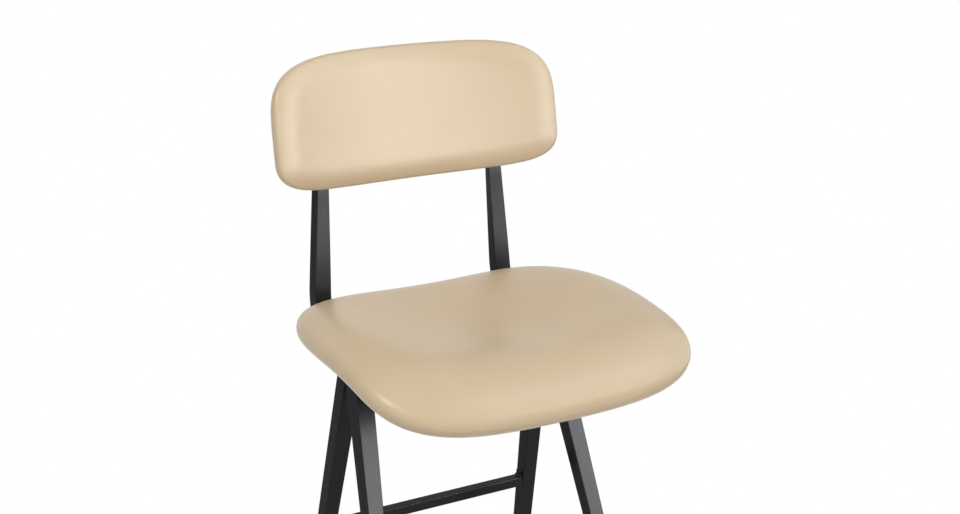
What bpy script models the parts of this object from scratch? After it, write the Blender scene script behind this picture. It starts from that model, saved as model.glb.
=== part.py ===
"""Counter stool: a tapered steel frame on four splayed legs, with an upholstered seat and back.

Lengths are metres, +Z is up and the sitter faces -Y. Sizes along Y are measured from the line where the
seat is widest. The whole stool hangs on one empty, which puts the middle of its footprint at the origin.
"""
import math
from collections import namedtuple

import bmesh
import bpy
import numpy as np
from mathutils import Matrix, Vector

# Fits and mesh steps
CLEARANCE = 0.0003
SEAT_TO_POST_GAP = 0.0047
CORNER_STEPS = 3
BEND_STEPS = 9
AROUND = 44
ARC_STEPS = 8
FACE_RINGS = 5
TURNED_STEPS = 12
DENSE_STEPS = 4000
SLOPE_STEP = 0.001
WELD = 0.00002
SMOOTH_ANGLE = math.radians(35)

# Facets of the panels, in rim radii from the edge: where rings stop running square to the outline,
# and where the outermost ring of a face lies
SQUARE_RIM = 1.5
OUTER_RING = 2.4

# Seat: outline, then the surface that its rim and its plywood follow
SEAT_WIDTH = 0.445
SEAT_REAR_REACH = 0.230
SEAT_FRONT_REACH = 0.120
SEAT_REAR_POWERS = (4.9, 3.8)
SEAT_FRONT_POWERS = (4.4, 3.5)
SEAT_RIM_RADIUS = 0.0177
SEAT_RIM_HEIGHT = 0.6665
SEAT_ROLL_START = 0.150
SEAT_FRONT_DROP = 0.0457
SEAT_ROLL_POWER = 2.5
SEAT_REAR_LIFT = 0.003
SEAT_SIDE_LIFT = 0.012
SEAT_DISH = 0.012
SEAT_DISH_Y = 0.085
SEAT_DISH_HALF_WIDTH = 0.125
SEAT_DISH_HALF_DEPTH = 0.085
SEAT_CROWN = 0.003
SEAT_SHELL_THICKNESS = 0.011
SEAT_SHELL_INSET = 0.014
SEAT_LIP_THICKNESS = 0.002
SEAT_LIP_WIDTH = 0.014
SEAT_COVER_THICKNESS = 0.002
SEAT_COVER_INSET = 0.026

# Back: outline from its widest line, then how it stands
BACK_WIDTH = 0.414
BACK_TOP_REACH = 0.122
BACK_BOTTOM_REACH = 0.0476
BACK_TOP_POWERS = (4.1, 4.6)
BACK_BOTTOM_POWERS = (4.9, 3.7)
BACK_RIM_RADIUS = 0.0129
BACK_RISE = 0.206
BACK_CURVE_RADIUS = 0.618
BACK_TILT = math.radians(7)
BACK_CROWN = 0.003
BACK_SHELL_THICKNESS = 0.008
BACK_SHELL_INSET = 0.010
BACK_LIP_THICKNESS = 0.0015
BACK_LIP_WIDTH = 0.012
BACK_COVER_THICKNESS = 0.0025
BACK_COVER_INSET = 0.017

# Back posts: a seat arm, a bend behind the seat and an upright that tapers to its tip
POST_WIDTH = 0.0225
POST_DEPTH = 0.0172
POST_TIP_WIDTH = 0.0122
POST_WALL = 0.0018
POST_CORNER = 0.003
POST_BEND_RADIUS = 0.078
POST_RECLINE = math.radians(2.7)
POST_BASE_X = 0.1345
POST_LOW_REACH = 0.124
POST_HIGH_REACH = 0.1185
POST_TIP_RISE = 0.072
ARM_FRONT_Y = 0.002
ARM_TOE = math.radians(3.5)

# Legs: two on each side, meeting under the seat arm
LEG_APEX_X = 0.141
LEG_APEX_Y = 0.1412
LEG_APEX_GAP = 0.0026
LEG_TOP_WIDTH = 0.0235
LEG_FOOT_WIDTH = 0.0125
LEG_FOOT_DEPTH = 0.012
LEG_WALL = 0.0018
LEG_CORNER = 0.0028
FRONT_LEG_TOP_DEPTH = 0.0255
FRONT_FOOT_X = 0.193
FRONT_FOOT_Y = -0.084
REAR_LEG_TOP_DEPTH = 0.021
REAR_FOOT_X = 0.178
REAR_FOOT_Y = 0.290

# Cross members
RAIL_DEPTH = 0.025
RAIL_HEIGHT = 0.012
RAIL_WALL = 0.0015
RAIL_CORNER = 0.002
FRONT_RAIL_Y = 0.030
REAR_RAIL_Y = 0.148
STRETCHER_Z = 0.386
STRETCHER_HEIGHT = 0.0116
STRETCHER_DEPTH = 0.0135
FOOTREST_Z = 0.225
FOOTREST_HEIGHT = 0.016
FOOTREST_DEPTH = 0.0145
BAR_WALL = 0.0015
BAR_CORNER = 0.002

# Plugs, glides and fasteners
PLUG_DEPTH = 0.012
PLUG_HEAD = 0.0025
GLIDE_HEIGHT = 0.006
GLIDE_OVERHANG = 0.0015
GLIDE_EDGE = 0.0012
SCREW_RADIUS = 0.003
SCREW_HEAD_RADIUS = 0.0058
SCREW_HEAD_HEIGHT = 0.0032
SCREW_CROWN_RADIUS = 0.0035
SCREW_TIP_MARGIN = 0.0015
INSERT_RADIUS = 0.0048
SPACER_RADIUS = 0.008
SPACER_LEAST_HEIGHT = 0.009
SEAT_SCREW_X = 0.085
BACK_SCREW_RISES = (-0.012, 0.048)

Panel = namedtuple("Panel", "half_width far near far_powers near_powers radius place")
Station = namedtuple("Station", "centre across along")

for old in list(bpy.data.objects):
    bpy.data.objects.remove(old)

parts = bpy.data.collections.new("counter_stool")
cutters = bpy.data.collections.new("counter_stool_cutters")
bpy.context.scene.collection.children.link(parts)
bpy.context.scene.collection.children.link(cutters)

stand = bpy.data.objects.new("stool_footprint", None)
parts.objects.link(stand)


def finish(name, colour, roughness, metallic=0.0):
    """A plain material in the colour of the real surface."""
    material = bpy.data.materials.new(name)
    material.use_nodes = True
    shader = material.node_tree.nodes["Principled BSDF"]
    shader.inputs["Base Color"].default_value = (*colour, 1)
    shader.inputs["Roughness"].default_value = roughness
    shader.inputs["Metallic"].default_value = metallic
    return material


POWDER_COAT = finish("black_powder_coat", (0.022, 0.021, 0.020), 0.42)
VINYL = finish("beige_vinyl", (0.70, 0.59, 0.44), 0.45)
PLYWOOD = finish("birch_plywood", (0.62, 0.44, 0.26), 0.6)
DUST_COVER = finish("black_dust_cover", (0.02, 0.02, 0.02), 0.9)
NYLON = finish("black_nylon", (0.018, 0.018, 0.018), 0.5)
ZINC = finish("black_zinc", (0.05, 0.05, 0.055), 0.35, 1.0)


def add_object(name, bm, material, collection=parts):
    """Turn a bmesh into a named object on the stool's empty."""
    bmesh.ops.recalc_face_normals(bm, faces=bm.faces)
    if bm.calc_volume(signed=True) < 0:
        bmesh.ops.reverse_faces(bm, faces=bm.faces)
    mesh = bpy.data.meshes.new(name)
    bm.to_mesh(mesh)
    bm.free()
    mesh.materials.append(material)
    mesh.shade_smooth()
    mesh.set_sharp_from_angle(angle=SMOOTH_ANGLE)
    item = bpy.data.objects.new(name, mesh)
    item.parent = stand
    collection.objects.link(item)
    return item


def cut_hole(target, name, radius, start, end):
    """Drill a round hole through an object from one point to another."""
    bm = bmesh.new()
    axis = end - start
    bmesh.ops.create_cone(
        bm, cap_ends=True, segments=TURNED_STEPS, radius1=radius, radius2=radius, depth=axis.length
    )
    drill = add_object(name, bm, ZINC, cutters)
    turn = axis.to_track_quat("Z", "Y").to_matrix().to_4x4()
    drill.matrix_basis = Matrix.Translation((start + end) / 2) @ turn
    drill.hide_render = True
    drill.display_type = "WIRE"
    boolean = target.modifiers.new(name, "BOOLEAN")
    boolean.operation = "DIFFERENCE"
    boolean.object = drill


def turned(name, profile, matrix, material):
    """A profile of (radius, height), run down its outer side, turned around its own Z axis."""
    bm = bmesh.new()
    verts = [bm.verts.new((radius, 0, height)) for radius, height in profile]
    for pair in zip(verts, verts[1:]):
        bm.edges.new(pair)
    if profile[0][0] > 0:
        bm.edges.new((verts[-1], verts[0]))
    item = add_object(name, bm, material)
    item.matrix_basis = matrix
    screw = item.modifiers.new("turn", "SCREW")
    screw.steps = TURNED_STEPS
    screw.render_steps = TURNED_STEPS
    screw.use_merge_vertices = True
    screw.merge_threshold = WELD
    return item


def station_ring(station, corner, inset=0.0):
    """Points round one rectangular section with rounded corners, drawn in by a wall."""
    half_across = station.across.length
    half_along = station.along.length
    radius = max(corner - inset, corner / 4)
    points = []
    for quarter, (side, end) in enumerate(((1, 1), (-1, 1), (-1, -1), (1, -1))):
        for step in range(CORNER_STEPS + 1):
            angle = (quarter + step / CORNER_STEPS) * math.pi / 2
            across = side * (half_across - inset - radius) + radius * math.cos(angle)
            along = end * (half_along - inset - radius) + radius * math.sin(angle)
            offset = station.across.normalized() * across + station.along.normalized() * along
            points.append(station.centre + offset)
    return points


def loft(name, stations, corner, material, wall=None):
    """A bar through rectangular stations: solid with capped ends, or a tube with open ends."""
    sections = [station_ring(station, corner) for station in stations]
    if wall:
        sections += [station_ring(station, corner, wall) for station in reversed(stations)]
    bm = bmesh.new()
    rings = [[bm.verts.new(point) for point in section] for section in sections]
    if wall:
        rings.append(rings[0])
    else:
        bm.faces.new(rings[0])
        bm.faces.new(rings[-1])
    for first, second in zip(rings, rings[1:]):
        for index, vert in enumerate(first):
            bm.faces.new((first[index - 1], vert, second[index], second[index - 1]))
    return add_object(name, bm, material)


def plug(name, end, inward, corner, wall, material):
    """A push-in end plug: a thin head over a tube's end and a spigot inside its walls."""
    head = end._replace(centre=end.centre - inward * (PLUG_HEAD + CLEARANCE))
    seat = end._replace(centre=end.centre - inward * CLEARANCE)
    slack = wall + CLEARANCE
    neck = Station(seat.centre, shorter(end.across, slack), shorter(end.along, slack))
    tip = neck._replace(centre=end.centre + inward * PLUG_DEPTH)
    return loft(name, [head, seat, neck, tip], corner / 2, material)


def shorter(vector, amount):
    """A half-axis drawn in by a length."""
    return vector.normalized() * (vector.length - amount)


def mirrored(stations):
    """The same stations on the other side of the stool."""
    flip = Vector((-1, 1, 1))
    return [Station(s.centre * flip, s.across * flip, s.along * flip) for s in stations]


# Upholstered panels: the seat and the back share their construction
def rim_line(panel):
    """Points along the rim's centre line, closer at the corners, with the outward normals there."""
    turn = np.linspace(0, 2 * math.pi, DENSE_STEPS, endpoint=False) + math.pi / 2
    far = np.sin(turn) >= 0
    reach = np.where(far, panel.far, panel.near) - panel.radius
    power_x = np.where(far, panel.far_powers[0], panel.near_powers[0])
    power_y = np.where(far, panel.far_powers[1], panel.near_powers[1])
    half = panel.half_width - panel.radius
    x = half * np.sign(np.cos(turn)) * np.abs(np.cos(turn)) ** (2 / power_x)
    y = reach * np.sign(np.sin(turn)) * np.abs(np.sin(turn)) ** (2 / power_y)
    heading = np.unwrap(np.arctan2(np.roll(y, -1) - np.roll(y, 1), np.roll(x, -1) - np.roll(x, 1)))
    stretch = np.hypot(np.diff(x, append=x[0]), np.diff(y, append=y[0]))
    bend = np.abs(np.diff(heading, append=heading[0] + 2 * math.pi))
    corner_pull = half / 2
    travel = np.concatenate(([0], np.cumsum(stretch + corner_pull * bend)))
    stops = np.linspace(0, travel[-1], AROUND, endpoint=False)
    heading_there = np.interp(stops, travel[:-1], heading)
    points = np.stack((np.interp(stops, travel[:-1], x), np.interp(stops, travel[:-1], y)), axis=1)
    normals = np.stack((np.sin(heading_there), -np.cos(heading_there)), axis=1)
    return [Vector(point) for point in points], [Vector(normal) for normal in normals]


def panel_solid(name, panel, profile, material):
    """Turn a profile of (inset from the edge, height) once, then lay it on the outline and surface."""
    span = panel.half_width
    rim_zone = panel.radius * SQUARE_RIM
    middle = Vector((0, (panel.far - panel.near) / 2))
    points, normals = rim_line(panel)
    bm = bmesh.new()
    verts = [bm.verts.new((span - inset, 0, height)) for inset, height in profile]
    edges = [bm.edges.new(pair) for pair in zip(verts, verts[1:])]
    blank = verts + edges
    full_turn = 2 * math.pi
    bmesh.ops.spin(bm, geom=blank, axis=(0, 0, 1), angle=full_turn, steps=AROUND, use_merge=True)
    bmesh.ops.remove_doubles(bm, verts=bm.verts, dist=WELD)
    bmesh.ops.triangulate(bm, faces=bm.faces, quad_method="FIXED")
    for vert in bm.verts:
        inset = span - math.hypot(vert.co.x, vert.co.y)
        stop = round(math.atan2(vert.co.y, vert.co.x) / (2 * math.pi) * AROUND) % AROUND
        rim = points[stop] + normals[stop] * (panel.radius - min(inset, rim_zone))
        plan = rim.lerp(middle, max(0, inset - rim_zone) / (span - rim_zone))
        vert.co = panel.place(plan.x, plan.y, vert.co.z)
    return add_object(name, bm, material)


def face_insets(panel, edge):
    """Insets of the rings across a panel's face, from its middle out to an edge."""
    span = panel.half_width
    outer = panel.radius * OUTER_RING
    inner = [span + (outer - span) * step / FACE_RINGS for step in range(FACE_RINGS + 1)]
    return inner + [edge]


def plate_profile(panel, edge, top, bottom):
    """A plate between two heights, run in the pad's direction so that facing surfaces have like facets."""
    lower = [(inset, bottom) for inset in face_insets(panel, edge)]
    upper = [(inset, top) for inset in reversed(face_insets(panel, edge))]
    return lower + upper


def pad_profile(panel, crown, shell_inset, lip_thickness, lip_width, shell_thickness):
    """A crowned face and a half-round edge that wraps under the plywood, with a pocket for it."""
    radius = panel.radius
    span = panel.half_width
    profile = []
    for inset in face_insets(panel, radius):
        rise = crown * math.sin(math.pi * (span - inset) / (span - radius)) ** 2
        profile.append((inset, radius + rise))
    for step in range(1, ARC_STEPS + 1):
        angle = math.pi / 2 - math.pi * step / ARC_STEPS
        profile.append((radius - radius * math.cos(angle), radius * math.sin(angle)))
    floor = lip_thickness - radius
    ceiling = floor + shell_thickness + 2 * CLEARANCE
    profile.append((radius + lip_width, -radius))
    profile.append((radius + lip_width, floor))
    profile.append((shell_inset, floor))
    profile += [(inset, ceiling) for inset in reversed(face_insets(panel, shell_inset))]
    return profile


# Seat
def seat_level(x, y):
    """Height of the seat's middle surface: level at the rear, dished, rolling down to the front."""
    rim = SEAT_RIM_RADIUS
    ahead = max(0, SEAT_ROLL_START - y) / (SEAT_ROLL_START + SEAT_FRONT_REACH - rim)
    behind = max(0, y - SEAT_ROLL_START) / (SEAT_REAR_REACH - rim - SEAT_ROLL_START)
    aside = x / (SEAT_WIDTH / 2)
    dish = math.exp(-(x / SEAT_DISH_HALF_WIDTH) ** 2 - ((y - SEAT_DISH_Y) / SEAT_DISH_HALF_DEPTH) ** 2)
    lift = SEAT_REAR_LIFT * behind**2 + SEAT_SIDE_LIFT * aside**2
    return SEAT_RIM_HEIGHT + lift - SEAT_FRONT_DROP * ahead**SEAT_ROLL_POWER - SEAT_DISH * dish


def seat_slopes(x, y):
    """Rise of the seat's middle surface along X and along Y."""
    step = SLOPE_STEP
    slope_x = (seat_level(x + step, y) - seat_level(x - step, y)) / (2 * step)
    slope_y = (seat_level(x, y + step) - seat_level(x, y - step)) / (2 * step)
    return slope_x, slope_y


def seat_point(x, y, height):
    """A point at a height above the seat's middle surface, along its normal."""
    slope_x, slope_y = seat_slopes(x, y)
    return Vector((x, y, seat_level(x, y))) + Vector((-slope_x, -slope_y, 1)).normalized() * height


SEAT = Panel(
    half_width=SEAT_WIDTH / 2,
    far=SEAT_REAR_REACH,
    near=SEAT_FRONT_REACH,
    far_powers=SEAT_REAR_POWERS,
    near_powers=SEAT_FRONT_POWERS,
    radius=SEAT_RIM_RADIUS,
    place=seat_point,
)
SEAT_SHELL_BOTTOM = SEAT_LIP_THICKNESS - SEAT_RIM_RADIUS + CLEARANCE
SEAT_SHELL_TOP = SEAT_SHELL_BOTTOM + SEAT_SHELL_THICKNESS
SEAT_COVER_TOP = -SEAT_RIM_RADIUS - CLEARANCE
SEAT_COVER_BOTTOM = SEAT_COVER_TOP - SEAT_COVER_THICKNESS

seat_pad = panel_solid(
    "seat_pad",
    SEAT,
    pad_profile(
        SEAT, SEAT_CROWN, SEAT_SHELL_INSET, SEAT_LIP_THICKNESS, SEAT_LIP_WIDTH, SEAT_SHELL_THICKNESS
    ),
    VINYL,
)
seat_shell = panel_solid(
    "seat_shell",
    SEAT,
    plate_profile(SEAT, SEAT_SHELL_INSET + CLEARANCE, SEAT_SHELL_TOP, SEAT_SHELL_BOTTOM),
    PLYWOOD,
)
seat_cover = panel_solid(
    "seat_bottom_cover",
    SEAT,
    plate_profile(SEAT, SEAT_COVER_INSET, SEAT_COVER_TOP, SEAT_COVER_BOTTOM),
    DUST_COVER,
)


def under_seat(x, y):
    """Height of the underside of the seat's bottom cover."""
    slope_x, slope_y = seat_slopes(x, y)
    return seat_level(x, y) + SEAT_COVER_BOTTOM * math.sqrt(1 + slope_x**2 + slope_y**2)


# Frame levels and the bend of the posts, all taken from the seat
SEAT_SCREWS = {
    "front_left": (-SEAT_SCREW_X, FRONT_RAIL_Y),
    "front_right": (SEAT_SCREW_X, FRONT_RAIL_Y),
    "rear_left": (-SEAT_SCREW_X, REAR_RAIL_Y),
    "rear_right": (SEAT_SCREW_X, REAR_RAIL_Y),
}
FRAME_TOP = min(under_seat(x, y) for x, y in SEAT_SCREWS.values()) - SPACER_LEAST_HEIGHT
ARM_Z = FRAME_TOP - POST_DEPTH / 2
LEG_TOP_Z = FRAME_TOP - POST_DEPTH - CLEARANCE
BEND_Z = ARM_Z + POST_BEND_RADIUS


def bend_middle_y():
    """Where the posts' bend turns, so that its inner face clears the seat's rear edge."""
    half = SEAT_WIDTH / 2 - SEAT_RIM_RADIUS
    reach = SEAT_REAR_REACH - SEAT_RIM_RADIUS
    edge_y = reach * (1 - (POST_BASE_X / half) ** SEAT_REAR_POWERS[0]) ** (1 / SEAT_REAR_POWERS[1])
    room = POST_BEND_RADIUS - POST_DEPTH / 2 - SEAT_RIM_RADIUS - SEAT_TO_POST_GAP
    rise = BEND_Z - seat_level(POST_BASE_X, edge_y)
    return edge_y - math.sqrt(room**2 - rise**2)


BEND_Y = bend_middle_y()


# Back
def back_frame(reach, rise):
    """A point on the back's middle surface, from the back's own middle, and the front normal there."""
    turn = reach / BACK_CURVE_RADIUS
    forward = BACK_CURVE_RADIUS * (1 - math.cos(turn))
    lean = Matrix.Rotation(-BACK_TILT, 3, "X")
    point = lean @ Vector((BACK_CURVE_RADIUS * math.sin(turn), -forward, rise))
    normal = lean @ Vector((-math.sin(turn), -math.cos(turn), 0))
    return point, normal


BACK_COVER_TOP = -BACK_RIM_RADIUS - CLEARANCE
BACK_COVER_BOTTOM = BACK_COVER_TOP - BACK_COVER_THICKNESS
BACK_SHELL_BOTTOM = BACK_LIP_THICKNESS - BACK_RIM_RADIUS + CLEARANCE
BACK_SHELL_TOP = BACK_SHELL_BOTTOM + BACK_SHELL_THICKNESS
BACK_Z = SEAT_RIM_HEIGHT + BACK_RISE


def post_scale(z):
    """Size of a post's section at a height, as a share of the section at its bend."""
    tip_z = BACK_Z + POST_TIP_RISE
    climbed = min(max((z - BEND_Z) / (tip_z - BEND_Z), 0), 1)
    return 1 + (POST_TIP_WIDTH / POST_WIDTH - 1) * climbed


def behind_back(reach, rise):
    """The middle of a post that lies on the rear of the back, from the back's own middle."""
    point, normal = back_frame(reach, rise)
    half_depth = POST_DEPTH / 2 * post_scale(BACK_Z + point.z)
    return point + normal * (BACK_COVER_BOTTOM - CLEARANCE - half_depth)


def back_y():
    """How far behind the seat's widest line the back stands, so that the reclined posts meet its rear."""
    low = behind_back(POST_LOW_REACH, -BACK_BOTTOM_REACH)
    bend_end_y = BEND_Y + POST_BEND_RADIUS * math.cos(POST_RECLINE)
    bend_end_z = BEND_Z - POST_BEND_RADIUS * math.sin(POST_RECLINE)
    climb = BACK_Z + low.z - bend_end_z
    return bend_end_y + climb * math.tan(POST_RECLINE) - low.y


BACK_PLACE = Vector((0, back_y(), BACK_Z))


def back_point(x, y, height):
    """A point at a height in front of the back's middle surface."""
    point, normal = back_frame(x, y)
    return BACK_PLACE + point + normal * height


BACK = Panel(
    half_width=BACK_WIDTH / 2,
    far=BACK_TOP_REACH,
    near=BACK_BOTTOM_REACH,
    far_powers=BACK_TOP_POWERS,
    near_powers=BACK_BOTTOM_POWERS,
    radius=BACK_RIM_RADIUS,
    place=back_point,
)
panel_solid(
    "back_pad",
    BACK,
    pad_profile(
        BACK, BACK_CROWN, BACK_SHELL_INSET, BACK_LIP_THICKNESS, BACK_LIP_WIDTH, BACK_SHELL_THICKNESS
    ),
    VINYL,
)
back_shell = panel_solid(
    "back_shell",
    BACK,
    plate_profile(BACK, BACK_SHELL_INSET + CLEARANCE, BACK_SHELL_TOP, BACK_SHELL_BOTTOM),
    PLYWOOD,
)
back_cover = panel_solid(
    "back_rear_panel",
    BACK,
    plate_profile(BACK, BACK_COVER_INSET, BACK_COVER_TOP, BACK_COVER_BOTTOM),
    VINYL,
)


# Posts with their seat arms
def arm_x(y):
    """Middle of the right seat arm, which toes out towards the front."""
    return LEG_APEX_X - (y - LEG_APEX_Y) * math.tan(ARM_TOE)


def post_path():
    """The middle line of the right post from the arm's front end to the tip, with the turn of its section."""
    path = [(Vector((arm_x(ARM_FRONT_Y), ARM_FRONT_Y, ARM_Z)), ARM_TOE)]
    start_x = arm_x(BEND_Y)
    for step in range(BEND_STEPS + 1):
        share = step / BEND_STEPS
        angle = share * (math.pi / 2 - POST_RECLINE)
        x = start_x + (POST_BASE_X - start_x) * share
        y = BEND_Y + POST_BEND_RADIUS * math.sin(angle)
        z = BEND_Z - POST_BEND_RADIUS * math.cos(angle)
        path.append((Vector((x, y, z)), ARM_TOE * (1 - share)))
    for reach, rise in ((POST_LOW_REACH, -BACK_BOTTOM_REACH), (POST_HIGH_REACH, POST_TIP_RISE)):
        path.append((BACK_PLACE + behind_back(reach, rise), -reach / BACK_CURVE_RADIUS))
    return path


def post_stations():
    """Sections of the right post, each square to the path."""
    path = post_path()
    stations = []
    for index, (point, turn) in enumerate(path):
        before = path[max(index - 1, 0)][0]
        after = path[min(index + 1, len(path) - 1)][0]
        heading = ((after - point).normalized() + (point - before).normalized()).normalized()
        side = Vector((math.cos(turn), math.sin(turn), 0))
        side = (side - heading * side.dot(heading)).normalized()
        scale = post_scale(point.z)
        across = side * (POST_WIDTH / 2 * scale)
        along = heading.cross(side) * (POST_DEPTH / 2 * scale)
        stations.append(Station(point, across, along))
    return stations


def frame_plugs(side, stations):
    """Plugs in the two open ends of one post."""
    inward = (stations[1].centre - stations[0].centre).normalized()
    plug(f"arm_end_plug_{side}", stations[0], inward, POST_CORNER, POST_WALL, NYLON)
    inward = (stations[-2].centre - stations[-1].centre).normalized()
    plug(f"post_top_plug_{side}", stations[-1], inward, POST_CORNER, POST_WALL, NYLON)


right_post = post_stations()
posts = {}
for side, stations in (("right", right_post), ("left", mirrored(right_post))):
    posts[side] = loft(f"back_post_{side}", stations, POST_CORNER, POWDER_COAT, POST_WALL)
    frame_plugs(side, stations)


# Legs and their glides
def level_station(x, y, z, width, depth):
    """A level rectangular section."""
    return Station(Vector((x, y, z)), Vector((width / 2, 0, 0)), Vector((0, depth / 2, 0)))


def leg_station(leg, z):
    """The section of a right leg at a height."""
    top_x, top_y, foot_x, foot_y, top_depth = leg
    share = z / LEG_TOP_Z
    x = foot_x + (top_x - foot_x) * share
    y = foot_y + (top_y - foot_y) * share
    width = LEG_FOOT_WIDTH + (LEG_TOP_WIDTH - LEG_FOOT_WIDTH) * share
    depth = LEG_FOOT_DEPTH + (top_depth - LEG_FOOT_DEPTH) * share
    return level_station(x, y, z, width, depth)


FRONT_TOP_Y = LEG_APEX_Y - LEG_APEX_GAP / 2 - FRONT_LEG_TOP_DEPTH / 2
REAR_TOP_Y = LEG_APEX_Y + LEG_APEX_GAP / 2 + REAR_LEG_TOP_DEPTH / 2
LEGS = {
    "front": (arm_x(FRONT_TOP_Y), FRONT_TOP_Y, FRONT_FOOT_X, FRONT_FOOT_Y, FRONT_LEG_TOP_DEPTH),
    "rear": (arm_x(REAR_TOP_Y), REAR_TOP_Y, REAR_FOOT_X, REAR_FOOT_Y, REAR_LEG_TOP_DEPTH),
}


def glide_stations(leg):
    """A nylon foot: a sole wider than the leg, with a spigot up the leg's slanting bore."""
    foot = leg_station(leg, GLIDE_HEIGHT)
    across = shorter(foot.across, -GLIDE_OVERHANG)
    along = shorter(foot.along, -GLIDE_OVERHANG)
    x, y = foot.centre.xy
    sole = Station(Vector((x, y, 0)), shorter(across, GLIDE_EDGE), shorter(along, GLIDE_EDGE))
    rim = Station(Vector((x, y, GLIDE_EDGE)), across, along)
    top = Station(Vector((x, y, GLIDE_HEIGHT)), across, along)
    slack = LEG_WALL + CLEARANCE
    neck = Station(top.centre, shorter(foot.across, slack), shorter(foot.along, slack))
    tip = neck._replace(centre=leg_station(leg, GLIDE_HEIGHT + PLUG_DEPTH).centre)
    return [sole, rim, top, neck, tip]


for end, leg in LEGS.items():
    shaft = [leg_station(leg, LEG_TOP_Z), leg_station(leg, GLIDE_HEIGHT + CLEARANCE)]
    foot = glide_stations(leg)
    loft(f"{end}_leg_right", shaft, LEG_CORNER, POWDER_COAT, LEG_WALL)
    loft(f"{end}_leg_left", mirrored(shaft), LEG_CORNER, POWDER_COAT, LEG_WALL)
    rear_glide = loft(f"{end}_foot_glide_right", foot, LEG_CORNER / 2, NYLON)
    loft(f"{end}_foot_glide_left", mirrored(foot), LEG_CORNER / 2, NYLON)


# Cross members
def leg_bar(name, leg, z, height, depth):
    """A tube welded between a pair of legs, its ends cut to the legs' splay."""
    middle = leg_station(leg, z)
    low = leg_station(leg, z - height / 2)
    high = leg_station(leg, z + height / 2)
    low_x = low.centre.x - low.across.length
    high_x = high.centre.x - high.across.length
    inner_x = (low_x + high_x) / 2 - CLEARANCE
    slant = Vector(((high_x - low_x) / 2, 0, height / 2))
    end = Station(Vector((inner_x, middle.centre.y, z)), slant, Vector((0, depth / 2, 0)))
    return loft(name, [end] + mirrored([end]), BAR_CORNER, POWDER_COAT, BAR_WALL)


leg_bar("rear_stretcher", LEGS["rear"], STRETCHER_Z, STRETCHER_HEIGHT, STRETCHER_DEPTH)
leg_bar("front_footrest", LEGS["front"], FOOTREST_Z, FOOTREST_HEIGHT, FOOTREST_DEPTH)


def seat_rail(name, y):
    """A tube across the frame between the two seat arms, flush with their tops."""
    toe = math.tan(ARM_TOE)
    inner_x = arm_x(y) - POST_WIDTH / 2 / math.cos(ARM_TOE) - CLEARANCE
    centre = Vector((inner_x, y, FRAME_TOP - RAIL_HEIGHT / 2))
    end = Station(centre, Vector((-toe * RAIL_DEPTH / 2, RAIL_DEPTH / 2, 0)), Vector((0, 0, RAIL_HEIGHT / 2)))
    return loft(name, [end] + mirrored([end]), RAIL_CORNER, POWDER_COAT, RAIL_WALL)


rails = {
    "front": seat_rail("front_seat_rail", FRONT_RAIL_Y),
    "rear": seat_rail("rear_seat_rail", REAR_RAIL_Y),
}


# Fasteners
def screw_profile(length):
    """A button-head screw whose shank points up from the underside of its seat."""
    return [
        (0, length),
        (SCREW_RADIUS, length),
        (SCREW_RADIUS, -CLEARANCE),
        (SCREW_HEAD_RADIUS, -CLEARANCE),
        (SCREW_HEAD_RADIUS, -SCREW_HEAD_HEIGHT / 2),
        (SCREW_CROWN_RADIUS, -SCREW_HEAD_HEIGHT),
        (0, -SCREW_HEAD_HEIGHT),
    ]


def insert_profile(height):
    """A threaded bush that is pressed into plywood."""
    bore = SCREW_RADIUS + CLEARANCE
    return [(bore, height), (INSERT_RADIUS, height), (INSERT_RADIUS, 0), (bore, 0)]


def spacer(name, x, y):
    """A bush between a rail and the seat, cut to the seat's slope at its top."""
    slope_x, slope_y = seat_slopes(x, y)
    top_z = under_seat(x, y) - 2 * CLEARANCE
    low = level_station(x, y, FRAME_TOP + CLEARANCE, 2 * SPACER_RADIUS, 2 * SPACER_RADIUS)
    across = Vector((SPACER_RADIUS, 0, SPACER_RADIUS * slope_x))
    along = Vector((0, SPACER_RADIUS, SPACER_RADIUS * slope_y))
    high = Station(Vector((x, y, top_z)), across, along)
    wall = SPACER_RADIUS - SCREW_RADIUS - CLEARANCE
    return loft(name, [low, high], SPACER_RADIUS, NYLON, wall)


def fix_seat(place, x, y):
    """One seat screw with its spacer, its insert and the holes that it passes."""
    rail = rails[place.split("_")[0]]
    foot = Vector((x, y, FRAME_TOP - RAIL_HEIGHT))
    slope = math.sqrt(1 + sum(rise**2 for rise in seat_slopes(x, y)))
    shell_bottom = seat_level(x, y) + SEAT_SHELL_BOTTOM * slope
    shell_top = seat_level(x, y) + SEAT_SHELL_TOP * slope
    tip_z = shell_top - SCREW_TIP_MARGIN
    above = Vector((x, y, seat_level(x, y)))
    turned(f"seat_screw_{place}", screw_profile(tip_z - foot.z), Matrix.Translation(foot), ZINC)
    spacer(f"seat_spacer_{place}", x, y)
    margin = SCREW_TIP_MARGIN
    base = Matrix.Translation((x, y, shell_bottom + margin))
    turned(f"seat_insert_{place}", insert_profile(shell_top - shell_bottom - 2 * margin), base, ZINC)
    cut_hole(rail, f"drill_rail_{place}", SCREW_RADIUS + CLEARANCE, foot - Vector((0, 0, RAIL_HEIGHT)), above)
    cut_hole(seat_cover, f"drill_cover_{place}", SCREW_RADIUS + 2 * CLEARANCE, foot, above)
    cut_hole(seat_shell, f"drill_shell_{place}", INSERT_RADIUS + CLEARANCE, foot, above)


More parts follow.
